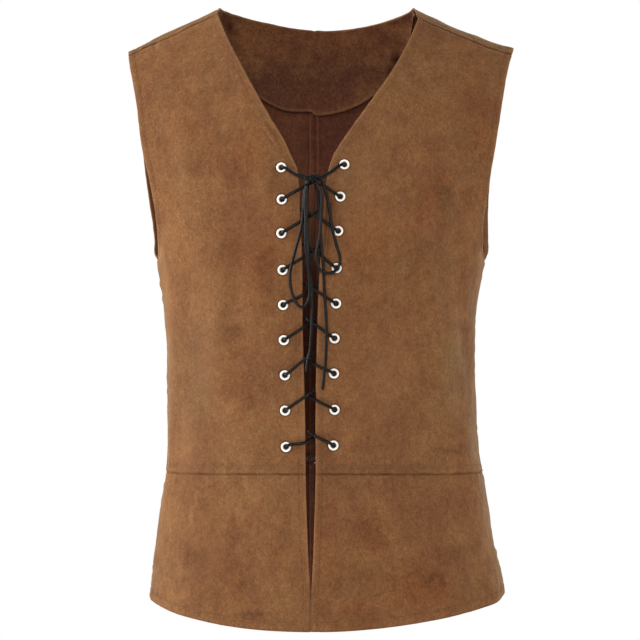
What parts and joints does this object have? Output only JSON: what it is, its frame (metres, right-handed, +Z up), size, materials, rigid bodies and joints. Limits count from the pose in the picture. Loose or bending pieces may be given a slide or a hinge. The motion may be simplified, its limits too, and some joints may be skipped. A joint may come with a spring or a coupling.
{
  "type": "renaissance vest",
  "caption": "Sleeveless men's costume vest in brown faux suede, open down the front and laced edge to edge through metal eyelets, with a V neck, a waist seam and a short flared skirt.",
  "frame": {"origin": "on the wearer's centre line, at the level where the shoulders carry the vest", "axes": "+Z up, the front looks towards -Y, the wearer's left is at +X"},
  "size_m": [0.4307, 0.2792, 0.6824],
  "materials": {
    "suede": "matt brushed nap, softly mottled",
    "facing": "matt woven back of the same cloth",
    "eyelet_metal": "bright plated",
    "lace": "round braided cord, dull sheen"
  },
  "bodies": {
    "root": {"front_right": "suede", "front_left": "suede", "back_right": "suede", "back_left": "suede", "front_skirt_right": "suede", "front_skirt_left": "suede", "back_skirt_right": "suede", "back_skirt_left": "suede", "neck_facing": "facing", "eyelet_right_1": "eyelet_metal", "eyelet_right_2": "eyelet_metal", "eyelet_right_3": "eyelet_metal", "eyelet_right_4": "eyelet_metal", "eyelet_right_5": "eyelet_metal", "eyelet_right_6": "eyelet_metal", "eyelet_right_7": "eyelet_metal", "eyelet_right_8": "eyelet_metal", "eyelet_right_9": "eyelet_metal", "eyelet_left_1": "eyelet_metal", "eyelet_left_2": "eyelet_metal", "eyelet_left_3": "eyelet_metal", "eyelet_left_4": "eyelet_metal", "eyelet_left_5": "eyelet_metal", "eyelet_left_6": "eyelet_metal", "eyelet_left_7": "eyelet_metal", "eyelet_left_8": "eyelet_metal", "eyelet_left_9": "eyelet_metal", "lace_right": "lace", "lace_left": "lace", "bow_knot": "lace", "bow_loop_right": "lace", "bow_loop_left": "lace", "bow_end_right": "lace", "bow_end_left": "lace"}
  },
  "joints": []
}
